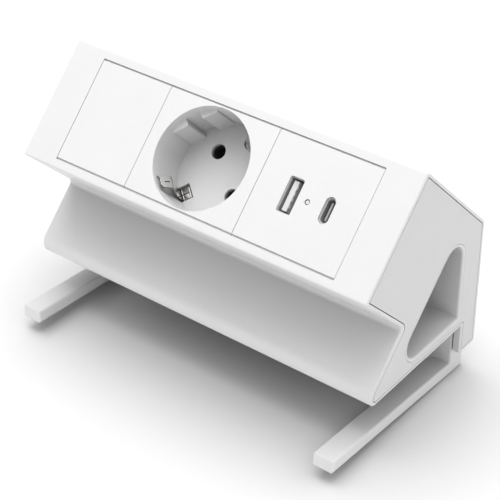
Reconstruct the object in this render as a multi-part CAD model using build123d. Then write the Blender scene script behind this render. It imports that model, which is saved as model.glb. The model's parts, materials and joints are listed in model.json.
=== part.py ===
from build123d import *
from math import cos, radians, sin, sqrt, tan
import os

# Desk-edge power strip, in millimetres. X runs along the strip, Y to the rear, Z up.
# Origin: mid-length, where the plane of the desk top meets the front of the rear lip.

# ---- body profile -------------------------------------------------------------------
LENGTH = 156.2            # whole extrusion, end to end
PAD_THICK = 0.8           # foam strips between the underside and the desk
FACE_Y = -47.6            # middle of the 45 degree face
FACE_Z = 65.35 + PAD_THICK
FACE_HALF = 24.25         # half height of the face, measured up the slope
REAR_Y = 10.8             # rear wall
LIP_Z = -13.25 + PAD_THICK
NOSE_Y = -59.25           # foremost line of the foot
APRON_DEPTH = 33.4        # apron below the face, measured square to the face
SKIN = 1.2                # general wall of the extrusion
REAR_SKIN = 1.4
NOSE_SKIN = 1.6
APRON_SKIN = 2.2

# ---- triangular channel -------------------------------------------------------------
CHANNEL_REAR = -1.4       # rear side
CHANNEL_FLOOR = 3.65 + PAD_THICK
CHANNEL_DEPTH = 42.2      # sloping side, measured square to the face
CHANNEL_WALL = 1.3
CHANNEL_RADII = (2.0, 7.8, 8.2)
MOUTH_R = 1.0             # rounded inner edge at each end
END_R = 0.35              # outer edge at each end

# ---- front panel --------------------------------------------------------------------
PANEL_V = -0.17           # middle of the modules, measured up the face
PANEL_HALF = 20.43        # half height of the modules, middle of the shadow gap
PANEL_EDGES = (-63.2, -29.98, 19.65, 63.2)
GAP_LONG = 0.65           # shadow gap above and below the modules
GAP_DEPTH = 0.7           # a step on the front plates closes the gap at this depth
GAP_SHORT = 0.14          # joint between modules
PLATE = 2.2               # module front plate

# ---- earthed socket -----------------------------------------------------------------
SOCKET_U = (PANEL_EDGES[1] + PANEL_EDGES[2]) / 2
WELL_R = 19.6
WELL_DEPTH = 18.8
WELL_WALL = 0.9
WELL_FLOOR = 3.0
PIN_PITCH = 19.0          # two round pins, 19 mm apart
PIN_R = 2.6
PIN_MOUTH_R = 2.95
PIN_MOUTH_DEPTH = 1.4
PIN_BOSS_R = 4.3          # boss of the base, in the back of the floor
GUIDE_FACE = 16.8         # flat of the keying blocks, from the socket's centre
GUIDE_SPAN = (2.9, 9.6)   # each block, across the pin line
GUIDE_TOP = (4.4, 3.8)    # depth of its top: at its face, at the wall
GUIDE_ROUND = 0.7
EARTH_HALF = 3.0          # half width of the earth contact's slots
EARTH_TOP = 2.4           # depth where its slot in the wall starts
EARTH_INNER = 14.5        # inner end of the slot in the floor
FIXING = (12.8, 6.9)      # fixing screw in the well's floor
FIXING_R = 2.5
FIXING_SINK = 2.0         # its head seat, below the floor
BASE_FRONT = WELL_DEPTH + WELL_FLOOR
BASE_BACK = 37.5          # insulating base behind the well
BASE_HALF = (22.0, 17.0)
SLEEVE_R = 3.4
SLEEVE_BORE = 2.45
SLEEVE_FRONT = 25.5       # depth of its open end
SLEEVE_BACK = 35.0
STRAP_T = 0.7
STRAP_HALF = 2.3
STRAP_SLIT = 0.4          # slit that splits each nose into two leaves
TERMINAL_V = 11.0
TERMINAL_DEPTH = 31.0

# ---- USB charger --------------------------------------------------------------------
USB_A_U = 34.3
USB_C_U = 49.7
USB_V = 0.0
LED_U = 41.4
LED_V = 0.07
LED_R = 1.05              # hole in the plate
PIPE_R = 0.72             # light pipe that stands in it
PIPE_SINK = 0.35
USB_A = (5.9, 13.3)       # opening in the plate
USB_C = (4.1, 9.9)
CHARGER_U = 41.4
CHARGER = (39.9, 33.6)    # case behind the plate
CHARGER_WALL = 1.2
CHARGER_SPLIT = 10.8      # depth where the case meets the plate's skirt
CHARGER_BACK = 36.0
BOARD = (12.0, 13.6)      # depth of the board's two faces
CHARGER_WIRES = (-5.0, 5.0)

# ---- desk clamps --------------------------------------------------------------------
ARM_X = 70.35
ARM_W = 8.75
ARM_DEEP = 8.7            # upright, front to rear
BAR_THICK = 5.08
BAR_TILT = 3.92           # the bar rises towards its tip
BAR_Z = -86.81 + FACE_Z   # underside of the bar below the middle of the face
BAR_TIP = -76.4
ARM_TOP = 15.5
SLOT_GAP = 0.6            # each side of the upright
SCREW_R = 2.0             # M4 clamp screw
SCREW_LEN = 60.0
HEAD_R = 3.5
HEAD_H = 4.0
HEAD_SEAT = 4.6           # seat of the head above the bar's underside
WEB_Z = 17.0              # web that carries the clamp nuts
WEB_THICK = 2.0
NUT_THICK = 4.0

# ---- mains inlet in the left end ----------------------------------------------------
INLET_DEPTH = 21.0        # its middle, behind the face plane
INLET_SIZE = (22.0, 16.0)
INLET_LEN = 20.1
INLET_WALL = 1.2
INLET_PINS = (-6.0, 0.0, 6.0)
INLET_SCREWS = (-14.6, 14.6)

HALF = LENGTH / 2
CAP_THICK = 2.15
CAP_GAP = 0.3             # groove round each end cap
# ---- helpers ------------------------------------------------------------------------
def face_point(depth, along):
    """Profile point (y, z), from its depth behind the face and its height up the face."""
    return (FACE_Y + (along + depth) / sqrt(2), FACE_Z + (along - depth) / sqrt(2))


# Frames: X along the strip, Y up the face, Z out of it; and the same turned with the socket.
FACE = Plane(origin=(0, *face_point(0, PANEL_V)), x_dir=(1, 0, 0), z_dir=(0, -1, 1)).location
SOCKET = FACE * Pos(SOCKET_U, 0, 0) * Rot(0, 0, 45)   # X across the pins, Y along them


def inset(points, amounts):
    """Move each side of an anticlockwise polygon inwards by its own amount."""
    count = len(points)
    lines = []
    for i in range(count):
        (ay, az), (by, bz) = points[i], points[(i + 1) % count]
        size = sqrt((by - ay) ** 2 + (bz - az) ** 2)
        ny, nz = -(bz - az) / size, (by - ay) / size
        lines.append((ny, nz, ny * ay + nz * az + amounts[i]))
    corners = []
    for i in range(count):
        (a, b, e), (c, d, f) = lines[i - 1], lines[i]
        det = a * d - b * c
        corners.append(((e * d - b * f) / det, (a * f - e * c) / det))
    return corners


def rounded(points, radii):
    """Flat face with a corner radius at each point."""
    return make_face(FilletPolyline(*points, radius=radii, close=True))


def along_x(profile, start, end):
    """Sweep a profile drawn in (y, z) along X."""
    return Pos(start, 0, 0) * (Plane.YZ.location * extrude(profile, end - start))


def block(x, y, z):
    """Box from its (low, high) limits."""
    size = [high - low for low, high in (x, y, z)]
    middle = [(high + low) / 2 for low, high in (x, y, z)]
    return Pos(*middle) * Box(*size)


def rod(radius, bottom, top, x=0.0, y=0.0):
    """Upright cylinder between two heights."""
    return Pos(x, y, (bottom + top) / 2) * Cylinder(radius, top - bottom)


def slab(width, height, radius, front, back, u=0.0, v=0.0):
    """Rounded plate parallel to the face, from depth front to depth back."""
    outline = RectangleRounded(width, height, radius)
    return Pos(u, v, -back) * extrude(outline, back - front)


def stadium(width, height, front, back, u=0.0, v=0.0):
    """Plate with round ends parallel to the face, longer up the face than along it."""
    outline = SlotOverall(height, width, rotation=90)
    return Pos(u, v, -back) * extrude(outline, back - front)


def beam(width, height, radius, start, end, v=0.0, depth=0.0):
    """Rounded bar along X in the face's frame, width up the face and height in depth."""
    outline = RectangleRounded(height, width, radius)
    return Pos(start, v, -depth) * Rot(0, 90, 0) * extrude(outline, end - start)


def dowel(radius, start, end, v=0.0, depth=0.0):
    """Round bar along X in the face's frame."""
    return Pos(start, v, -depth) * Rot(0, 90, 0) * extrude(Circle(radius), end - start)


def wire(radius, points, bend):
    """Insulated wire through the given points, with a bend radius at each corner."""
    path = FilletPolyline(*points, radius=bend)
    return sweep(Plane(path @ 0, z_dir=path % 0) * Circle(radius), path=path)


def write(name, shape):
    """Write one node: a solid, or a group of separate solids."""
    solids = list(shape) if isinstance(shape, (list, tuple)) else [shape]
    solids = [piece for item in solids for piece in item.solids()]
    node = solids[0] if len(solids) == 1 else Compound(children=solids)
    node.label = name
    export_step(node, f"parts/{name}.step")
    print(f"{name:18s} {len(solids)} solid(s) {sum(s.volume for s in solids):10.1f} mm3")


# ---- body ---------------------------------------------------------------------------
def body_outline():
    """Outer corners, anticlockwise seen from the right, from the face's top edge."""
    apron = FACE_Z - FACE_Y - sqrt(2) * APRON_DEPTH
    top_sum = FACE_Y + FACE_Z + sqrt(2) * FACE_HALF
    return [
        face_point(0, FACE_HALF),
        face_point(0, -FACE_HALF),
        face_point(APRON_DEPTH, -FACE_HALF),
        (NOSE_Y, NOSE_Y + apron),
        (NOSE_Y, PAD_THICK),
        (0, PAD_THICK),
        (0, LIP_Z),
        (REAR_Y, LIP_Z),
        (REAR_Y, top_sum - REAR_Y),
    ]


WALLS = (SKIN, SKIN, APRON_SKIN, NOSE_SKIN, SKIN, SKIN, SKIN, REAR_SKIN, SKIN)
OUTER_RADII = (0.8, 0.6, 2.0, 5.0, 3.0, 0.0, 0.8, 0.8, 1.2)
INNER_RADII = (0.3, 0.3, 3.4, 3.2, 1.5, 0.8, 0.3, 0.3, 0.4)


def channel_outline(shrink):
    """Rounded triangle of the channel, made smaller all round by shrink."""
    lean = FACE_Z - FACE_Y - sqrt(2) * CHANNEL_DEPTH
    corners = [
        (CHANNEL_REAR, CHANNEL_FLOOR),
        (CHANNEL_REAR, CHANNEL_REAR + lean),
        (CHANNEL_FLOOR - lean, CHANNEL_FLOOR),
    ]
    radii = [radius - shrink for radius in CHANNEL_RADII]
    return rounded(inset(corners, [shrink] * 3), radii)


PORTS = ((-49.5, PAD_THICK + SKIN + 2.6), face_point(46, 20.3), face_point(30, -20.3))
PORT_R = 2.8
PORT_BORE = 1.6


def make_housing():
    outline = body_outline()
    cavity = inset(outline, WALLS)
    shell = rounded(outline, OUTER_RADII) - rounded(cavity, INNER_RADII)
    top_inside = cavity[0][0] + cavity[0][1]
    floor_inside = PAD_THICK + SKIN
    webs = [
        Pos(y, (floor_inside + CHANNEL_FLOOR) / 2) * Rectangle(1.4, CHANNEL_FLOOR - floor_inside + 0.4)
        for y in (-12, -34)
    ]
    ridge_y = CHANNEL_REAR - 4.6
    ridge_low = CHANNEL_FLOOR + 34
    ridge_high = top_inside - ridge_y + 0.4
    webs.append(Pos(ridge_y, (ridge_low + ridge_high) / 2) * Rectangle(1.4, ridge_high - ridge_low))
    nut_web_end = REAR_Y - REAR_SKIN + 0.2
    webs.append(
        Pos((CHANNEL_REAR + nut_web_end) / 2, WEB_Z + WEB_THICK / 2)
        * Rectangle(nut_web_end - CHANNEL_REAR + 0.4, WEB_THICK)
    )
    webs += [Pos(*port) * Circle(PORT_R) for port in PORTS]
    between = Sketch()
    for web in webs:
        between += web
    for port in PORTS:
        between -= Pos(*port) * Circle(PORT_BORE)
    between -= channel_outline(CHANNEL_WALL / 2)
    tube = channel_outline(0) - channel_outline(CHANNEL_WALL)
    inner_end = HALF - CAP_THICK
    housing = along_x(shell, -HALF, HALF) + along_x(tube, -HALF, HALF)
    housing += along_x(between, -inner_end, inner_end)

    # rails that the module frame slides between, behind the face
    rail_low, rail_high = 21.3, FACE_HALF - SKIN + 0.2
    for side in (-1, 1):
        rail_v = side * (rail_low + rail_high) / 2
        rail = Pos(0, rail_v, -9.7) * Box(2 * inner_end, rail_high - rail_low, 1.2)
        housing += FACE * rail

    # window for the modules
    window_w = PANEL_EDGES[-1] - PANEL_EDGES[0] + GAP_SHORT
    housing -= FACE * slab(window_w, 2 * PANEL_HALF + GAP_LONG, 0.3, -1, 4)

    # rounded inner edge at both mouths of the channel
    rims = [edge.center() for edge in channel_outline(CHANNEL_WALL).edges()]
    mouth = [
        edge
        for edge in housing.edges()
        if abs(abs(edge.center().X) - HALF) < 0.01
        and any(abs(edge.center().Y - c.X) + abs(edge.center().Z - c.Y) < 0.01 for c in rims)
    ]
    housing = fillet(mouth, MOUTH_R)
    outer = [edge.center() for edge in rounded(outline, OUTER_RADII).edges()]
    ends = [
        edge
        for edge in housing.edges()
        if abs(abs(edge.center().X) - HALF) < 0.01
        and any(abs(edge.center().Y - c.X) + abs(edge.center().Z - c.Y) < 0.01 for c in outer)
    ]
    housing = chamfer(ends, END_R)

    # slots for the clamp uprights, and the holes for their screws in the nut web
    half_slot = ARM_W / 2 + SLOT_GAP
    for x in (-ARM_X, ARM_X):
        housing -= block(
            (x - half_slot, x + half_slot),
            (-0.45, ARM_DEEP + 0.4),
            (LIP_Z - 1, PAD_THICK + SKIN),
        )
        housing -= rod(SCREW_R + 0.4, WEB_Z - 1, WEB_Z + WEB_THICK + 1, x, ARM_DEEP / 2)
    return housing


def make_cap(side):
    """End cap, flush in the end of the extrusion, with a hole round the channel."""
    cavity = inset(body_outline(), WALLS)
    plate = rounded(inset(cavity, [CAP_GAP] * len(cavity)), INNER_RADII)
    plate -= channel_outline(-0.15)
    cap = along_x(plate, HALF - CAP_THICK, HALF)
    for y, z in PORTS:
        peg = Cylinder(PORT_BORE - 0.02, 9.0)
        cap += Pos(HALF - CAP_THICK - 4.0, y, z) * Rot(0, 90, 0) * peg
    if side > 0:
        return cap
    cap = mirror(cap, Plane.YZ)
    width, height = INLET_SIZE
    cap -= FACE * beam(width + 0.2, height + 0.2, 2.1, -HALF - 1, -HALF + 4, 0, INLET_DEPTH)
    for v in INLET_SCREWS:
        cap -= FACE * dowel(1.02, -HALF + 0.55, -HALF + 4, v, INLET_DEPTH)
    return cap


# ---- front panel --------------------------------------------------------------------
def front_plate(index):
    """Front plate of one module, flush with the face, with a softened front edge."""
    low, high = PANEL_EDGES[index], PANEL_EDGES[index + 1]
    width = high - low - GAP_SHORT
    height = 2 * PANEL_HALF - GAP_LONG
    middle = (low + high) / 2
    plate = slab(width, height, 0.25, 0, PLATE, middle)
    plate = chamfer(plate.faces().sort_by(Axis.Z)[-1].edges(), 0.15)
    plate += slab(width, height + 2 * GAP_LONG - 0.1, 0.25, GAP_DEPTH, PLATE, middle)
    return plate, middle


def clip(u, v, width):
    """Sprung leg behind a front plate, with its hook behind the module frame."""
    sign = 1 if v > 0 else -1
    leg = block((u - width / 2, u + width / 2), (17.6, 18.9), (-10.6, -PLATE + 0.01))
    hook = block((u - width / 2, u + width / 2), (18.8, 19.7), (-10.2, -9.1))
    return leg + hook if sign > 0 else mirror(leg + hook, Plane.XZ)


def make_module_frame():
    """Moulded frame behind the face: a ledge that the modules clip into."""
    outer = FACE_HALF - SKIN - 0.5
    inner = 19.0
    end = 67.0
    opening = PANEL_HALF + GAP_LONG / 2
    half_panel = PANEL_EDGES[-1] + GAP_SHORT / 2
    frame = block((-end, end), (-outer, outer), (-9.05, -SKIN))
    frame -= block((-half_panel, half_panel), (-opening, opening), (-PLATE, 0))
    frame -= block((-61.9, 61.9), (-inner, inner), (-12, 0))
    for edge in PANEL_EDGES[1:3]:
        frame += block((edge - 1.6, edge + 1.6), (-inner - 0.1, inner + 0.1), (-9.05, -PLATE))
    frame -= rod(WELL_R + WELL_WALL + 0.25, -12, 0, SOCKET_U)
    frame -= block((SOCKET_U - 23, SOCKET_U + 23), (-19.05, 19.05), (-12, 0))
    return FACE * frame


def make_blank():
    plate, u = front_plate(0)
    for v in (-1, 1):
        plate += clip(u, v, 12)
    return FACE * plate


def make_socket_plate():
    """Front plate with the round well, its keying blocks and its slotted floor."""
    plate, u = front_plate(1)
    shell = rod(WELL_R + WELL_WALL, -WELL_DEPTH - WELL_FLOOR, -PLATE + 0.01)
    well = rod(WELL_R, -WELL_DEPTH, 1)
    part = Pos(-u, 0, 0) * plate + shell - well
    for du in (-20.6, 20.6):
        for v in (-1, 1):
            part += clip(du, v, 4)
    part = Rot(0, 0, -45) * part
    low, high = GUIDE_SPAN
    foot = -WELL_DEPTH - 0.5
    key_profile = Polyline(
        (GUIDE_FACE, foot),
        (GUIDE_FACE, -GUIDE_TOP[0]),
        (WELL_R + 0.3, -GUIDE_TOP[1]),
        (WELL_R + 0.3, foot),
        close=True,
    )
    key = along_x(make_face(key_profile), low, high)
    proud = [
        edge
        for edge in key.edges()
        if abs(edge.center().Y - GUIDE_FACE) < 0.01 and edge.center().Z > foot + 1
    ]
    key = fillet(proud, GUIDE_ROUND)
    key = key & rod(WELL_R + 0.3, foot - 1, 0)
    keys = [key, mirror(key, Plane.YZ)]
    keys += [mirror(item, Plane.XZ) for item in keys]
    for item in keys:
        part += item
    for side in (-1, 1):
        slot = sorted((side * EARTH_INNER, side * (WELL_R + 0.45)))
        part -= block(slot, (-EARTH_HALF, EARTH_HALF), (-WELL_DEPTH - 6, -WELL_DEPTH + 0.1))
        notch = sorted((side * (WELL_R - 3), side * (WELL_R + 0.45)))
        part -= block(notch, (-EARTH_HALF, EARTH_HALF), (-WELL_DEPTH, -EARTH_TOP))
        boss_seat = -WELL_DEPTH - PIN_MOUTH_DEPTH
        part -= rod(PIN_MOUTH_R, boss_seat - 1, -WELL_DEPTH + 1, 0, side * PIN_PITCH / 2)
        part -= rod(PIN_BOSS_R + 0.1, -BASE_FRONT - 1, boss_seat, 0, side * PIN_PITCH / 2)
    x, y = FIXING
    part -= rod(FIXING_R, -WELL_DEPTH - FIXING_SINK, -WELL_DEPTH + 1, x, y)
    part -= rod(1.6, -BASE_FRONT - 1, -WELL_DEPTH + 1, x, y)
    return SOCKET * part


def terminal_place(side):
    """Centre of a terminal pocket near the left edge of the socket base."""
    return Pos(SOCKET_U - BASE_HALF[0] + 5.4, side * TERMINAL_V, -TERMINAL_DEPTH)


def terminal_links(grow):
    """Flat links from the three terminals to the neutral sleeve, the strap and the live sleeve."""
    low, high = SOCKET_U - 13.0 - grow, SOCKET_U + grow
    thin = (-TERMINAL_DEPTH - 0.5 - grow, -TERMINAL_DEPTH + 0.5 + grow)
    neutral = block((low, SOCKET_U + 3.3 + grow), (-9.0 - grow, -7.0 + grow), thin)
    earth = block((low, high), (-1.5 - grow, 1.5 + grow), thin)
    earth += block(
        (high - 1.4 - 2 * grow, high),
        (-1.5 - grow, 1.5 + grow),
        (thin[0], -BASE_FRONT - 1.0 + grow),
    )
    live = block((low, SOCKET_U - 10.05 + grow), (7.6 - grow, 9.6 + grow), thin)
    return neutral, earth, live


def make_socket_base():
    """Insulating block behind the well, with pockets for contacts and terminals."""
    width, height = BASE_HALF
    base = slab(2 * width, 2 * height, 2.0, BASE_FRONT, BASE_BACK, SOCKET_U)
    left = SOCKET_U - width
    for side, link in zip((-1, 0, 1), terminal_links(0.15)):
        base -= terminal_place(side) * Box(8.2, 7.2, 8.2)
        base -= dowel(1.7, left - 1, left + 4, side * TERMINAL_V, TERMINAL_DEPTH)
        base -= terminal_place(side) * rod(2.0, -8, 0)
        base -= link
    for v in CHARGER_WIRES:
        base -= dowel(1.25, -left + 2 * SOCKET_U - 4, -left + 2 * SOCKET_U + 1, v, TERMINAL_DEPTH)
    local = (Pos(-SOCKET_U, 0, 0) * base).rotate(Axis.Z, -45)
    for side in (-1, 1):
        y = side * PIN_PITCH / 2
        local += rod(PIN_BOSS_R, -BASE_FRONT - 0.1, -WELL_DEPTH - PIN_MOUTH_DEPTH - 0.1, 0, y)
        local -= rod(PIN_R, -BASE_BACK, -WELL_DEPTH, 0, y)
        local -= rod(SLEEVE_R + 0.15, -BASE_BACK - 1, -SLEEVE_FRONT + 0.1, 0, y)
    local -= block((-16.0, 16.0), (-2.7, 2.7), (-BASE_FRONT - 1.1, -BASE_FRONT + 1))
    local -= rod(1.25, -BASE_FRONT - 9, -BASE_FRONT + 1, *FIXING)
    return SOCKET * local


def make_terminals():
    """Three brass blocks, each with a wire bore, a screw bore and a link to its contact."""
    blocks = []
    for side, link in zip((-1, 0, 1), terminal_links(0)):
        body = terminal_place(side) * (Box(7.9, 6.9, 7.9) - rod(1.48, -4, 0))
        body -= dowel(1.4, SOCKET_U - 25, SOCKET_U - 14.2, side * TERMINAL_V, TERMINAL_DEPTH)
        blocks.append(FACE * (body + link))
    return blocks


def make_terminal_screws():
    """Slotted grub screws bearing on the wires from behind."""
    screw = rod(1.45, -6.0, -1.42) - block((-2, 2), (-0.25, 0.25), (-6.1, -5.3))
    return [FACE * terminal_place(side) * screw for side in (-1, 0, 1)]


def make_socket_screw():
    """Cross-recessed screw that holds the well to its base."""
    x, y = FIXING
    seat = -WELL_DEPTH - FIXING_SINK
    top = seat + 1.2
    screw = rod(FIXING_R - 0.15, seat, top, x, y) + rod(1.22, -WELL_DEPTH - 10, seat + 0.1, x, y)
    for turn in (0, 90):
        screw -= Pos(x, y, top) * Rot(0, 0, turn + 20) * Box(2.6, 0.7, 1.6)
    return SOCKET * screw


def make_pin_sleeves():
    """Two slotted brass sleeves that grip the round pins."""
    sleeves = []
    for side in (-1, 1):
        y = side * PIN_PITCH / 2
        sleeve = rod(SLEEVE_R, -SLEEVE_BACK, -SLEEVE_FRONT, 0, y)
        sleeve -= rod(SLEEVE_BORE, -SLEEVE_BACK + 0.9, -SLEEVE_FRONT + 1, 0, y)
        sleeve -= block((-0.4, 0.4), (y - 4, y + 4), (-SLEEVE_BACK + 5, -SLEEVE_FRONT + 1))
        sleeves.append(SOCKET * sleeve)
    return sleeves


def make_earth_strap():
    """One folded strip: a strap under the floor, with a sprung nose at each side."""
    low, ledge = -BASE_FRONT - 0.5, -WELL_DEPTH - 1.3
    half = [(0, low), (15.2, low), (15.2, ledge), (19.3, ledge), (18.8, -14.0), (15.8, -6.9), (18.7, -2.9)]
    bends = [0.7, 0.7, 0.9, 2.5, 1.3]
    strap = Part()
    for sign in (-1, 1):
        path = FilletPolyline(*[(sign * x, z) for x, z in half], radius=bends)
        strip = Plane.XZ.location * extrude(trace(path, STRAP_T), STRAP_HALF, both=True)
        corners = [
            edge
            for edge in strip.edges()
            if edge.center().Z > -4 and edge.length < STRAP_T + 0.05 and abs(edge.center().Y) > 1
        ]
        strip = fillet(corners, 1.3)
        slit = sorted((sign * 16.2, sign * 20))
        strip -= block(slit, (-STRAP_SLIT / 2, STRAP_SLIT / 2), (ledge - 1, -4.1))
        strap += strip
    return SOCKET * strap


# ---- USB charger --------------------------------------------------------------------
def make_usb_plate():
    plate, u = front_plate(2)
    width, height = CHARGER
    skirt = slab(width, height, 1.5, PLATE - 0.01, CHARGER_SPLIT, CHARGER_U)
    width, height = width - 2 * CHARGER_WALL, height - 2 * CHARGER_WALL
    plate += skirt - slab(width, height, 0.8, PLATE - 0.02, CHARGER_SPLIT + 1, CHARGER_U)
    for v in (-1, 1):
        plate += clip(u, v, 12)
    plate -= slab(*USB_A, 0.8, -1, PLATE + 1, USB_A_U, USB_V)
    plate -= stadium(*USB_C, -1, PLATE + 1, USB_C_U, USB_V)
    plate -= rod(LED_R, -PLATE - 1, 1, LED_U, LED_V)
    return FACE * plate


def make_usb_a():
    """Steel shell, moulded tongue and the four contacts on its right side."""
    width, height = USB_A[0] - 0.1, USB_A[1] - 0.1
    back = BOARD[0]
    shell = slab(width, height, 0.75, 0.9, back, USB_A_U, USB_V)
    shell -= slab(width - 0.6, height - 0.6, 0.45, 0, back + 1, USB_A_U, USB_V)
    left = USB_A_U - 1.63
    tongue = block((left, left + 2.0), (USB_V - 5.6, USB_V + 5.6), (-back + 0.1, -1.5))
    tongue += slab(width - 0.7, height - 0.7, 0.4, 9.6, back - 0.1, USB_A_U, USB_V)
    contacts = [
        FACE * block((left + 2.0, left + 2.2), (v - 0.75, v + 0.75), (-9.6, -1.8))
        for v in (USB_V - 3.5, USB_V - 1.0, USB_V + 1.0, USB_V + 3.5)
    ]
    return FACE * shell, FACE * tongue, contacts


def make_usb_c():
    """Steel shell with round ends, and the thin tongue inside it."""
    width, height = USB_C[0] - 0.15, USB_C[1] - 0.15
    back = BOARD[0]
    shell = stadium(width, height, 0.8, back, USB_C_U, USB_V)
    shell -= stadium(width - 0.95, height - 0.95, 0, back + 1, USB_C_U, USB_V)
    tongue = slab(0.7, 6.7, 0.3, 1.8, back - 0.1, USB_C_U, USB_V)
    tongue += stadium(width - 1.05, height - 1.05, 6.5, back - 0.1, USB_C_U, USB_V)
    return FACE * shell, FACE * tongue


def make_charger():
    """Board with its parts, and the open box that covers them from behind."""
    width, height = CHARGER
    inner = (width - 2 * CHARGER_WALL, height - 2 * CHARGER_WALL)
    floor = CHARGER_BACK - CHARGER_WALL
    case = slab(width, height, 1.5, CHARGER_SPLIT, CHARGER_BACK, CHARGER_U)
    case -= slab(*inner, 0.8, 0, floor, CHARGER_U)
    for du in (-16.5, 16.5):
        for v in (-13.4, 13.4):
            case += rod(2.2, -floor - 0.1, -BOARD[1], CHARGER_U + du, v)
    left = CHARGER_U - width / 2
    for v in CHARGER_WIRES:
        case -= dowel(1.5, left - 1, left + 2, v, TERMINAL_DEPTH)
    board = slab(inner[0] - 0.3, inner[1] - 0.3, 0.5, *BOARD, CHARGER_U)
    transformer = slab(15, 13, 0.6, BOARD[1], BOARD[1] + 11, CHARGER_U + 6, 4)
    capacitors = [
        FACE * rod(4.0, -BOARD[1] - 12, -BOARD[1], CHARGER_U + du, -9) for du in (-0.6, 9.6)
    ]
    terminals = slab(8, 14, 0.4, BOARD[1], BOARD[1] + 9, CHARGER_U - 10.4)
    led = block((LED_U - 0.8, LED_U + 0.8), (LED_V - 0.4, LED_V + 0.4), (-BOARD[0], -BOARD[0] + 0.9))
    return FACE * case, FACE * board, FACE * transformer, capacitors, FACE * terminals, FACE * led


def make_led_pipe():
    return FACE * rod(PIPE_R, -BOARD[0] + 1.0, -PIPE_SINK, LED_U, LED_V)


# ---- mains inlet and wiring ---------------------------------------------------------
def make_inlet_body():
    """Three-pin inlet: a tube open at the left end, held by a flange behind the cap."""
    width, height = INLET_SIZE
    wall = INLET_WALL
    end = -HALF + INLET_LEN
    flange = -HALF + CAP_THICK
    body = beam(width, height, 2.0, -HALF, end, 0, INLET_DEPTH)
    body += beam(33.8, 20.0, 1.5, flange, flange + 1.5, 0, INLET_DEPTH)
    body -= beam(width - 2 * wall, height - 2 * wall, 0.9, -HALF - 1, end - 2, 0, INLET_DEPTH)
    for v in INLET_PINS:
        body -= dowel(1.51, end - 3, end + 1, v, INLET_DEPTH)
    for v in INLET_SCREWS:
        body -= dowel(1.15, flange - 1, flange + 3, v, INLET_DEPTH)
    return FACE * body


def make_inlet_pins():
    start, end = -HALF + 5.5, -HALF + INLET_LEN + 4
    return [
        FACE * fillet(dowel(1.5, start, end, v, INLET_DEPTH).edges().sort_by(Axis.X)[0], 0.6)
        for v in INLET_PINS
    ]


def make_inlet_screws():
    """Pan-head screws through the flange into the end cap."""
    seat = -HALF + CAP_THICK + 1.5
    screws = []
    for v in INLET_SCREWS:
        screw = dowel(1.0, -HALF + 0.6, seat, v, INLET_DEPTH)
        screw += dowel(1.9, seat, seat + 1.2, v, INLET_DEPTH)
        groove = (-INLET_DEPTH - 0.25, -INLET_DEPTH + 0.25)
        screw -= block((seat + 0.6, seat + 2), (v - 1.2, v + 1.2), groove)
        screws.append(FACE * screw)
    return screws


def make_supply_wires():
    """Neutral, earth and live wires from the inlet's pins to the socket's terminals."""
    start = -HALF + INLET_LEN + 4
    stop = SOCKET_U - 14.6
    wires = []
    for v, side, radius in zip(INLET_PINS, (-1, 0, 1), (1.2, 1.35, 1.2)):
        points = [
            (start, v, -INLET_DEPTH),
            (start + 6, v, -INLET_DEPTH),
            (SOCKET_U - BASE_HALF[0] - 9, side * TERMINAL_V, -TERMINAL_DEPTH),
            (stop, side * TERMINAL_V, -TERMINAL_DEPTH),
        ]
        wires.append(FACE * wire(radius, points, 6.0))
    return wires


def make_charger_wires():
    start = SOCKET_U + BASE_HALF[0] - 3.9
    turn = CHARGER_U - 10.4
    return [
        FACE * wire(
            1.2,
            [
                (start, v, -TERMINAL_DEPTH),
                (turn, v, -TERMINAL_DEPTH),
                (turn, v, -BOARD[1] - 9),
            ],
            5.0,
        )
        for v in CHARGER_WIRES
    ]


# ---- desk clamps --------------------------------------------------------------------
def bar_underside(y):
    return BAR_Z - tan(radians(BAR_TILT)) * (y - FACE_Y)


def make_arm(x):
    """L-shaped arm: upright in the lip's slot, and a tilted bar under the desk."""
    tilt = radians(BAR_TILT)
    tip_z = bar_underside(BAR_TIP)
    outline = Polyline(
        (ARM_DEEP, bar_underside(ARM_DEEP)),
        (ARM_DEEP, ARM_TOP),
        (0, ARM_TOP),
        (0, bar_underside(0) + BAR_THICK / cos(tilt)),
        (BAR_TIP + BAR_THICK * sin(tilt), tip_z + BAR_THICK * cos(tilt)),
        (BAR_TIP, tip_z),
        close=True,
    )
    arm = along_x(make_face(outline), -ARM_W / 2, ARM_W / 2)
    inside = arm.edges().filter_by(Axis.X).sort_by_distance((0, 0, bar_underside(0) + BAR_THICK))[0]
    arm = fillet(inside, 0.5)
    arm = fillet([e for e in arm.edges() if abs(abs(e.center().X) - ARM_W / 2) < 0.01], 0.8)
    seat = bar_underside(ARM_DEEP / 2) + HEAD_SEAT
    arm -= rod(SCREW_R + 0.15, seat - 1, ARM_TOP + 1, 0, ARM_DEEP / 2)
    arm -= rod(HEAD_R + 0.15, seat - 9, seat, 0, ARM_DEEP / 2)
    return Pos(x, 0, 0) * arm


def make_clamp_screw(x):
    """M4 cap screw with a hexagon socket, head down in the arm's heel."""
    seat = bar_underside(ARM_DEEP / 2) + HEAD_SEAT
    head = rod(HEAD_R, seat - HEAD_H, seat)
    head = chamfer(head.edges().sort_by(Axis.Z)[0], 0.3)
    head -= Pos(0, 0, seat - HEAD_H) * extrude(RegularPolygon(1.5, 6, major_radius=False), 2.0)
    shank = rod(SCREW_R, seat, seat + SCREW_LEN)
    shank = chamfer(shank.edges().sort_by(Axis.Z)[-1], 0.5)
    return Pos(x, ARM_DEEP / 2, 0) * (head + shank)


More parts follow.
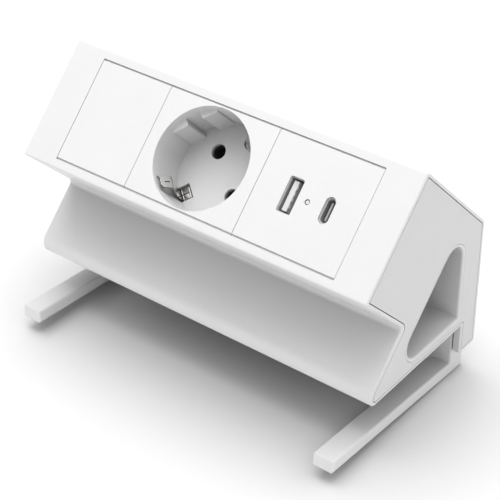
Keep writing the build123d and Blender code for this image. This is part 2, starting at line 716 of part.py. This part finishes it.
def make_arm_guides():
    """Low-friction blocks in the lip that the uprights slide through."""
    guides = []
    for side in (-1, 1):
        span = sorted((side * 63.0, side * 75.85))
        guide = block(span, (-1.35, 9.35), (PAD_THICK + SKIN, 14))
        guide += block(span, (1.25, 9.35), (LIP_Z + SKIN + 0.15, PAD_THICK + SKIN + 0.1))
        half = ARM_W / 2 + 0.06
        x = side * ARM_X
        guide -= block((x - half, x + half), (-0.06, ARM_DEEP + 0.06), (LIP_Z, 15))
        guides.append(guide)
    return guides


def make_nut_plates():
    plates = []
    for side in (-1, 1):
        plate = block(
            sorted((side * 63.35, side * 75.85)),
            (-1.35, 9.35),
            (WEB_Z + WEB_THICK, WEB_Z + WEB_THICK + NUT_THICK),
        )
        plates.append(plate - rod(SCREW_R + 0.05, WEB_Z, WEB_Z + 9, side * ARM_X, ARM_DEEP / 2))
    return plates


def make_desk_pads():
    return [block((-66, 66), span, (0, PAD_THICK)) for span in ((-54, -42), (-18, -6))]


# ---- write the nodes ----------------------------------------------------------------
os.makedirs("parts", exist_ok=True)
write("housing", make_housing())
write("end_cap_right", make_cap(1))
write("end_cap_left", make_cap(-1))
write("module_frame", make_module_frame())
write("blank_plate", make_blank())

write("socket_plate", make_socket_plate())
write("socket_base", make_socket_base())
write("pin_sleeves", make_pin_sleeves())
write("earth_strap", make_earth_strap())
write("socket_terminals", make_terminals())
write("terminal_screws", make_terminal_screws())
write("socket_screw", make_socket_screw())

usb_a_shell, usb_a_tongue, usb_a_contacts = make_usb_a()
usb_c_shell, usb_c_tongue = make_usb_c()
case, board, transformer, capacitors, terminals, led = make_charger()
write("usb_plate", make_usb_plate())
write("usb_a_shell", usb_a_shell)
write("usb_a_tongue", usb_a_tongue)
write("usb_a_contacts", usb_a_contacts)
write("usb_c_shell", usb_c_shell)
write("usb_c_tongue", usb_c_tongue)
write("led_pipe", make_led_pipe())
write("charger_led", led)
write("charger_board", board)
write("charger_case", case)
write("charger_transformer", transformer)
write("charger_capacitors", capacitors)
write("charger_terminals", terminals)

write("inlet_body", make_inlet_body())
write("inlet_pins", make_inlet_pins())
write("inlet_screws", make_inlet_screws())
neutral, earth, live = make_supply_wires()
write("wire_neutral", neutral)
write("wire_earth", earth)
write("wire_live", live)
write("charger_wires", make_charger_wires())

write("arm_guides", make_arm_guides())
write("nut_plates", make_nut_plates())
write("desk_pads", make_desk_pads())
for name, side in (("left", -1), ("right", 1)):
    write(f"arm_{name}", make_arm(side * ARM_X))
    write(f"screw_{name}", make_clamp_screw(side * ARM_X))
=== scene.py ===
import json
from math import cos, pi, radians, sin

import bmesh
import bpy
from mathutils import Matrix, Vector


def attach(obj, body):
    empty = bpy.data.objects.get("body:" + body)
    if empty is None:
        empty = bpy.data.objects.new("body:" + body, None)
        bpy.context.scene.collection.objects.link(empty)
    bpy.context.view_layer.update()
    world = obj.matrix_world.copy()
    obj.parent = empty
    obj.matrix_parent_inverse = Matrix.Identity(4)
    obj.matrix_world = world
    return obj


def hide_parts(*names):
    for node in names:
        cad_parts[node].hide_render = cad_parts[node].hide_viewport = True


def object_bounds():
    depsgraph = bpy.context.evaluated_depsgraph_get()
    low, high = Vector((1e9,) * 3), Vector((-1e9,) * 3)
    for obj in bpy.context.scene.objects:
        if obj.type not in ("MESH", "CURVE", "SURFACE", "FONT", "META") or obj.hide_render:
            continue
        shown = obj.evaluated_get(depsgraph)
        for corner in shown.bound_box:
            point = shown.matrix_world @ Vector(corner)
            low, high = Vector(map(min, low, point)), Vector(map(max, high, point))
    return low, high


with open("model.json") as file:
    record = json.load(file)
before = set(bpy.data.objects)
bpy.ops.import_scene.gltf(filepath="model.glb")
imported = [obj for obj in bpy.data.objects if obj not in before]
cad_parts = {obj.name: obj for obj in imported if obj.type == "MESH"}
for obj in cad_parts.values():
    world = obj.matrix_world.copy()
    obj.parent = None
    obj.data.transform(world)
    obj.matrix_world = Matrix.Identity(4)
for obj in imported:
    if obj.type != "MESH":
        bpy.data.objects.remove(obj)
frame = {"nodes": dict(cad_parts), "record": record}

CAD_BOX = [list(corner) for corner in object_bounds()]
NODES = frame["nodes"]
MM = 0.001

# M4 cap screws of the clamps, in millimetres: axis, ends of the head and of the shank.
SCREW_X = 70.35
SCREW_Y = 4.35
SCREW_LOW = -23.62
SCREW_SEAT = -19.62
SCREW_TOP = 40.38
HEAD_R = 3.5
HEX_FLATS = 1.5           # half the width across the flats
HEX_DEEP = 2.0
THREAD_R = 2.0
THREAD_ROOT = 1.58
PITCH = 0.7

# Stage, in metres: the floor, and the rim that it turns up to.
FLOOR_R = 3.5
RIM_R = 5.0
RIM_HIGH = 0.35

# Studio light: the sky's level all round, what it gains towards each direction, and the key light.
SKY_AROUND = 0.02
SKY_TOWARDS = (((0, 0, 1), 1.2), ((1, 0, 0), 0.06))
KEY_PLACE = (-0.1, 0.0, 1.1)
KEY_AIM = (0.0, -0.03, 0.03)
KEY_SIZE = 1.0
KEY_POWER = 5.75
BOUNCES = 1

# Camera: angles in degrees about a target in millimetres, and its lens for a 36 mm sensor.
AZIMUTH = 38.30
ELEVATION = 35.16
ROLL = 0.55
TARGET = (5.95, -34.27, 23.56)
DISTANCE = 588.84
SENSOR = 36.0
LENS = 1587.4 / 500 * SENSOR


# ---- node helpers ---------------------------------------------------------------------
class Nodes:
    """A material's node tree, with short calls for the nodes that the finishes share."""

    def __init__(self, name):
        self.material = bpy.data.materials.new(name)
        self.material.use_nodes = True
        self.tree = self.material.node_tree
        self.surface = self.tree.nodes["Principled BSDF"]
        self.place = self.add("ShaderNodeTexCoord").outputs["Object"]

    def add(self, kind, **values):
        node = self.tree.nodes.new(kind)
        for key, value in values.items():
            setattr(node, key, value)
        return node

    def link(self, source, target):
        if hasattr(source, "is_output"):
            self.tree.links.new(source, target)
        else:
            target.default_value = source

    def noise(self, size, detail=2.0, rough=0.5, stretch=(1, 1, 1)):
        """Noise with features of about size millimetres, longer where stretch is under 1."""
        scale = self.add("ShaderNodeMapping")
        scale.inputs["Scale"].default_value = stretch
        self.link(self.place, scale.inputs["Vector"])
        node = self.add("ShaderNodeTexNoise")
        node.inputs["Scale"].default_value = 1 / (size * MM)
        node.inputs["Detail"].default_value = detail
        node.inputs["Roughness"].default_value = rough
        self.link(scale.outputs["Vector"], node.inputs["Vector"])
        return node.outputs["Fac"]

    def spread(self, value, low, high, start=0.3, end=0.7):
        """Map start..end to low..high, without going past either."""
        node = self.add("ShaderNodeMapRange")
        self.link(value, node.inputs["Value"])
        for key, number in (("From Min", start), ("From Max", end), ("To Min", low), ("To Max", high)):
            node.inputs[key].default_value = number
        return node.outputs["Result"]

    def math(self, operation, a, b=0.0):
        node = self.add("ShaderNodeMath", operation=operation)
        self.link(a, node.inputs[0])
        self.link(b, node.inputs[1])
        return node.outputs[0]

    def blend(self, factor, a, b):
        node = self.add("ShaderNodeMix", data_type="RGBA")
        for index, value in ((0, factor), (6, a), (7, b)):
            self.link(value, node.inputs[index])
        return node.outputs[2]

    def edges(self, radius):
        """0 on flats, up to 1 on corners sharper than radius millimetres."""
        bevel = self.add("ShaderNodeBevel", samples=4)
        bevel.inputs["Radius"].default_value = radius * MM
        geometry = self.add("ShaderNodeNewGeometry")
        dot = self.add("ShaderNodeVectorMath", operation="DOT_PRODUCT")
        self.link(bevel.outputs["Normal"], dot.inputs[0])
        self.link(geometry.outputs["Normal"], dot.inputs[1])
        return self.spread(dot.outputs["Value"], 1.0, 0.0, 0.8, 0.99)

    def hollows(self, reach, low, high):
        """Ambient occlusion mask for painted shade: low in recesses of about reach millimetres, rising to
        high on open surfaces.
        """
        node = self.add("ShaderNodeAmbientOcclusion", samples=8)
        node.inputs["Distance"].default_value = reach * MM
        return self.spread(node.outputs["AO"], low, high, 0.5, 0.95)

    def bump(self, height, strength, distance, rounding=0.2):
        """Relief over a surface whose sharp edges are shaded as if rounded, all in millimetres."""
        bevel = self.add("ShaderNodeBevel", samples=4)
        bevel.inputs["Radius"].default_value = rounding * MM
        node = self.add("ShaderNodeBump")
        self.link(bevel.outputs["Normal"], node.inputs["Normal"])
        node.inputs["Strength"].default_value = strength
        node.inputs["Distance"].default_value = distance * MM
        self.link(height, node.inputs["Height"])
        self.link(node.outputs["Normal"], self.surface.inputs["Normal"])

    def set(self, **values):
        for key, value in values.items():
            self.link(value, self.surface.inputs[key.replace("_", " ")])


def grey(level, tint=(1.0, 1.0, 1.0)):
    return (*[level * t for t in tint], 1.0)


# ---- finishes -------------------------------------------------------------------------
def moulded(name, colour, roughness=0.45, grain=0.35, depth=0.006, edge_wear_and_highlight=0.06, sheen=0.4):
    """Moulded plastic or powder coat: fine grain, faint mottling, and corners rubbed smoother and lighter,
    the lighter tone part wear and part painted highlight.
    """
    n = Nodes(name)
    fine = n.noise(grain, detail=3.0)
    broad = n.noise(22, detail=4.0, rough=0.6)
    edge = n.edges(0.35)
    dark = tuple(c * 0.975 for c in colour[:3]) + (1.0,)
    light = tuple(min(1.0, c * (1 + edge_wear_and_highlight)) for c in colour[:3]) + (1.0,)
    tone = n.blend(n.spread(broad, 0.0, 1.0), colour, dark)
    # Corners lighter: part wear, part painted highlight.
    tone = n.blend(edge, tone, light)
    matte = n.math("ADD", n.spread(broad, roughness - 0.03, roughness + 0.05), n.spread(fine, -0.03, 0.03))
    gloss = n.math("SUBTRACT", matte, n.math("MULTIPLY", edge, 0.08))
    n.set(Base_Color=tone, Roughness=gloss, Specular_IOR_Level=sheen)
    n.bump(fine, 0.35, depth)
    return n.material


def drawn(name, colour, roughness=0.42):
    """Powder coat on an extrusion: orange peel over faint lines along X, with a painted highlight on its
    sharp edges.
    """
    n = Nodes(name)
    peel = n.noise(0.55, detail=2.0)
    lines = n.noise(0.9, detail=2.0, stretch=(0.01, 1, 1))
    broad = n.noise(30, detail=4.0, rough=0.6)
    edge = n.edges(0.5)
    dark = tuple(c * 0.98 for c in colour[:3]) + (1.0,)
    light = tuple(min(1.0, c * 1.05) for c in colour[:3]) + (1.0,)
    tone = n.blend(n.spread(broad, 0.0, 1.0), colour, dark)
    # Painted highlight: sharp edges lighter than the flats.
    tone = n.blend(edge, tone, light)
    matte = n.math("ADD", n.spread(broad, roughness - 0.03, roughness + 0.04), n.spread(peel, -0.025, 0.025))
    n.set(Base_Color=tone, Roughness=matte, Specular_IOR_Level=0.45)
    n.bump(n.math("ADD", peel, n.math("MULTIPLY", lines, 0.35)), 0.15, 0.005)
    return n.material


def metal(name, colour, roughness=0.25, stretch=(1, 1, 1), lines=0.3, stain=0.12, hollow_shade=0.0, sheen=1.0):
    """Bare or plated metal: drawing lines, handling marks, corners lighter as a painted highlight, and
    painted shade in its hollows.
    """
    n = Nodes(name)
    fine = n.noise(lines, detail=3.0, stretch=stretch)
    broad = n.noise(4, detail=4.0, rough=0.65)
    edge = n.edges(0.15)
    dark = tuple(c * (1 - stain) for c in colour[:3]) + (1.0,)
    light = tuple(min(1.0, c * 1.15) for c in colour[:3]) + (1.0,)
    painted_shade = tuple(c * (1 - hollow_shade) for c in colour[:3]) + (1.0,)
    tone = n.blend(n.spread(broad, 0.0, 1.0), colour, dark)
    # Painted shade: the colour darkens in recesses, where shade falls.
    tone = n.blend(n.hollows(6.0, 0.0, 1.0), painted_shade, tone)
    # Painted highlight: corners lighter than the flats.
    tone = n.blend(edge, tone, light)
    matte = n.math("ADD", n.spread(broad, roughness - 0.04, roughness + 0.08), n.spread(fine, -0.04, 0.04))
    n.set(Base_Color=tone, Roughness=matte, Metallic=sheen)
    n.bump(fine, 0.25, 0.004, rounding=0.1)
    return n.material


FINISHES = {
    "white_profile": drawn("white_profile", grey(0.86)),
    "white_arm": moulded("white_arm", grey(0.91), roughness=0.4, grain=0.6, depth=0.01),
    "white_cap": moulded("white_cap", grey(0.8), roughness=0.5, grain=0.3),
    "white_module": moulded("white_module", grey(0.87), roughness=0.42, grain=0.25),
    # Moulded corner lightening: part wear, part painted highlight.
    "black_moulding": moulded("black_moulding", grey(0.05), roughness=0.5, edge_wear_and_highlight=0.5),
    # Painted shade: these three metals are darkened in their recesses.
    "nickel_contact": metal("nickel_contact", grey(0.85, (1.0, 0.99, 0.97)), roughness=0.2, hollow_shade=0.88),
    "brass": metal("brass", (0.72, 0.52, 0.22, 1.0), roughness=0.3, hollow_shade=0.93),
    "zinc_steel": metal("zinc_steel", grey(0.5, (0.98, 1.0, 1.03)), roughness=0.32, hollow_shade=0.3),
    "port_steel": metal("port_steel", grey(0.62), roughness=0.5, stretch=(1, 0.1, 0.1), sheen=0.5),
    "tin_contact": metal("tin_contact", grey(0.8), roughness=0.45, sheen=0.15),
    "white_tongue": moulded("white_tongue", grey(0.82), roughness=0.4, grain=0.2),
    "grey_tongue": moulded("grey_tongue", grey(0.45), roughness=0.4, grain=0.2),
    "clear_pipe": moulded("clear_pipe", grey(0.86), roughness=0.15, grain=0.2, depth=0.002),
    "green_board": moulded("green_board", (0.03, 0.16, 0.07, 1.0), roughness=0.35),
    "component": moulded("component", grey(0.09), roughness=0.4, edge_wear_and_highlight=0.3),
    "wire_brown": moulded("wire_brown", (0.16, 0.07, 0.03, 1.0), roughness=0.45),
    "wire_blue": moulded("wire_blue", (0.04, 0.12, 0.42, 1.0), roughness=0.45),
    "wire_green": moulded("wire_green", (0.22, 0.42, 0.05, 1.0), roughness=0.45),
    "slide_plastic": moulded("slide_plastic", grey(0.09), roughness=0.3, edge_wear_and_highlight=0.3),
    "pad_rubber": moulded("pad_rubber", grey(0.05), roughness=0.75, grain=0.4, depth=0.02),
}


def dress_nodes():
    """Give every CAD node the finish of its slot."""
    for part in frame["record"]["subparts"]:
        slots = NODES[part["node"]].data.materials
        slots.clear()
        slots.append(FINISHES[part["material_slot"]])


# ---- clamp screws ---------------------------------------------------------------------
def add_rings(points, faces, rings):
    """Skin between rings of the same number of points, listed from one end to the other."""
    start, count = len(points), len(rings[0])
    points += [point for ring in rings for point in ring]
    for row in range(len(rings) - 1):
        for i in range(count):
            j = (i + 1) % count
            low, high = start + row * count, start + (row + 1) * count
            faces.append((low + i, low + j, high + j, high + i))


def add_head(points, faces):
    """Knurled cap head with a hexagon socket in its lower end."""
    steps = 72
    turns = [2 * pi * i / steps for i in range(steps)]

    def circle(radius, z):
        return [(radius * cos(a), radius * sin(a), z) for a in turns]

    def hexagon(z):
        flats = [HEX_FLATS / cos(a % (pi / 3) - pi / 6) for a in turns]
        return [(r * cos(a), r * sin(a), z) for r, a in zip(flats, turns)]

    def knurl(z):
        radii = [HEAD_R - 0.1 * (i % 2) for i in range(steps)]
        return [(r * cos(a), r * sin(a), z) for r, a in zip(radii, turns)]

    add_rings(points, faces, [
        circle(0.02, SCREW_LOW + HEX_DEEP + 0.4),
        hexagon(SCREW_LOW + HEX_DEEP),
        hexagon(SCREW_LOW),
        circle(HEAD_R - 0.3, SCREW_LOW),
        circle(HEAD_R - 0.08, SCREW_LOW + 0.3),
        knurl(SCREW_LOW + 0.45),
        knurl(SCREW_SEAT - 0.35),
        circle(HEAD_R - 0.08, SCREW_SEAT - 0.2),
        circle(HEAD_R - 0.15, SCREW_SEAT),
        circle(THREAD_ROOT, SCREW_SEAT),
    ])


def add_thread(points, faces):
    """Right-hand thread as a sheared grid: each column starts a little higher than the last."""
    columns, levels = 20, 4
    crest = (THREAD_ROOT, THREAD_R, THREAD_R, THREAD_ROOT)
    shares = (0.0, 0.40, 0.55, 0.95)
    turns = int((SCREW_TOP - SCREW_SEAT) / PITCH) + 2
    rows = turns * levels
    start = len(points)
    for i in range(columns):
        angle = 2 * pi * i / columns
        for k in range(rows):
            z = SCREW_SEAT + PITCH * (k // levels - 1 + shares[k % levels] + i / columns)
            radius = crest[k % levels]
            if not SCREW_SEAT < z < SCREW_TOP - 0.3:
                radius = THREAD_ROOT
            z = min(max(z, SCREW_SEAT - 0.1), SCREW_TOP)
            points.append((radius * cos(angle), radius * sin(angle), z))
    for i in range(columns):
        last = i == columns - 1
        shift = levels if last else 0
        for k in range(rows - 1 - shift):
            here = start + i * rows + k
            beside = start + (0 if last else i + 1) * rows + k + shift
            faces.append((here, beside, beside + 1, here + 1))
    top = len(points)
    points.append((0, 0, SCREW_TOP))
    for i in range(columns):
        here = start + (i + 1) * rows - 1
        beside = start + ((i + 1) % columns + 1) * rows - 1
        faces.append((here, beside, top))


def weld(mesh):
    """Join points that coincide, which removes faces of no area, and close the open ends."""
    solid = bmesh.new()
    solid.from_mesh(mesh)
    bmesh.ops.remove_doubles(solid, verts=solid.verts[:], dist=0.0001 * MM)
    bmesh.ops.holes_fill(solid, edges=solid.edges[:], sides=0)
    bmesh.ops.recalc_face_normals(solid, faces=solid.faces[:])
    solid.to_mesh(mesh)
    solid.free()


def make_clamp_screws():
    for side, sign in (("left", -1), ("right", 1)):
        points, faces = [], []
        add_head(points, faces)
        add_thread(points, faces)
        placed = [((sign * SCREW_X + x) * MM, (SCREW_Y + y) * MM, z * MM) for x, y, z in points]
        mesh = bpy.data.meshes.new(f"threaded_screw_{side}")
        mesh.from_pydata(placed, [], faces)
        weld(mesh)
        mesh.materials.append(FINISHES["zinc_steel"])
        screw = bpy.data.objects.new(f"threaded_screw_{side}", mesh)
        bpy.context.scene.collection.objects.link(screw)
        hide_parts(f"screw_{side}")
        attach(screw, f"bolt_{side}")


# ---- stage, light and camera ----------------------------------------------------------
def make_floor():
    """Round floor whose far rim turns up, so that low views end on a pale ground."""
    low = CAD_BOX[0][2] - 0.0001
    steps = 64
    turns = [2 * pi * i / steps for i in range(steps)]
    points, faces = [], []
    add_rings(points, faces, [
        [(FLOOR_R * cos(a), FLOOR_R * sin(a), low) for a in turns],
        [(RIM_R * cos(a), RIM_R * sin(a), low + RIM_HIGH) for a in turns],
    ])
    faces.append(tuple(range(steps)))
    mesh = bpy.data.meshes.new("floor")
    mesh.from_pydata(points, [], faces)
    floor = bpy.data.objects.new("floor", mesh)
    bpy.context.scene.collection.objects.link(floor)
    n = Nodes("floor")
    n.set(Base_Color=grey(0.93), Roughness=0.9, Specular_IOR_Level=0.1)
    mesh.materials.append(n.material)


def make_key_light():
    data = bpy.data.lights.new("key", "AREA")
    data.shape = "DISK"
    data.size = KEY_SIZE
    data.energy = KEY_POWER
    lamp = bpy.data.objects.new("key", data)
    lamp.location = KEY_PLACE
    beam = Vector(KEY_AIM) - Vector(KEY_PLACE)
    lamp.rotation_euler = beam.to_track_quat("-Z", "Y").to_euler()
    bpy.context.scene.collection.objects.link(lamp)


def make_sky():
    """World light with a level all round, growing towards each direction in SKY_TOWARDS."""
    world = bpy.data.worlds.new("studio")
    world.use_nodes = True
    tree = world.node_tree
    direction = tree.nodes.new("ShaderNodeTexCoord").outputs["Generated"]
    total = None
    for side, level in SKY_TOWARDS:
        facing = tree.nodes.new("ShaderNodeVectorMath")
        facing.operation = "DOT_PRODUCT"
        tree.links.new(direction, facing.inputs[0])
        facing.inputs[1].default_value = side
        lit = tree.nodes.new("ShaderNodeMath")
        lit.operation = "MAXIMUM"
        lit.inputs[1].default_value = 0.0
        tree.links.new(facing.outputs["Value"], lit.inputs[0])
        scaled = tree.nodes.new("ShaderNodeMath")
        scaled.operation = "MULTIPLY_ADD"
        scaled.inputs[1].default_value = level
        scaled.inputs[2].default_value = SKY_AROUND
        tree.links.new(lit.outputs[0], scaled.inputs[0])
        if total:
            tree.links.new(total, scaled.inputs[2])
        total = scaled.outputs[0]
    background = tree.nodes["Background"]
    background.inputs["Color"].default_value = grey(1.0)
    tree.links.new(total, background.inputs["Strength"])
    bpy.context.scene.world = world


def light_studio():
    make_sky()
    make_key_light()
    bpy.context.scene.view_settings.view_transform = "Standard"
    bpy.context.scene.cycles.diffuse_bounces = BOUNCES


def aim_camera():
    """Camera from azimuth, elevation and roll about a target point."""
    azimuth, elevation, roll = radians(AZIMUTH), radians(ELEVATION), radians(ROLL)
    target = Vector(TARGET) * MM
    distance = DISTANCE * MM
    back = Vector((sin(azimuth) * cos(elevation), -cos(azimuth) * cos(elevation), sin(elevation)))
    right = (-back).cross(Vector((0, 0, 1))).normalized()
    down = (-back).cross(right)
    turned = right * cos(roll) + down * sin(roll)
    below = down * cos(roll) - right * sin(roll)
    data = bpy.data.cameras.new("camera")
    data.sensor_width = SENSOR
    data.lens = LENS
    data.clip_start = 0.01
    camera = bpy.data.objects.new("camera", data)
    axes = Matrix((turned, -below, back)).transposed().to_4x4()
    camera.matrix_world = Matrix.Translation(target + back * distance) @ axes
    bpy.context.scene.collection.objects.link(camera)
    bpy.context.scene.camera = camera


dress_nodes()
make_clamp_screws()
make_floor()
light_studio()
aim_camera()
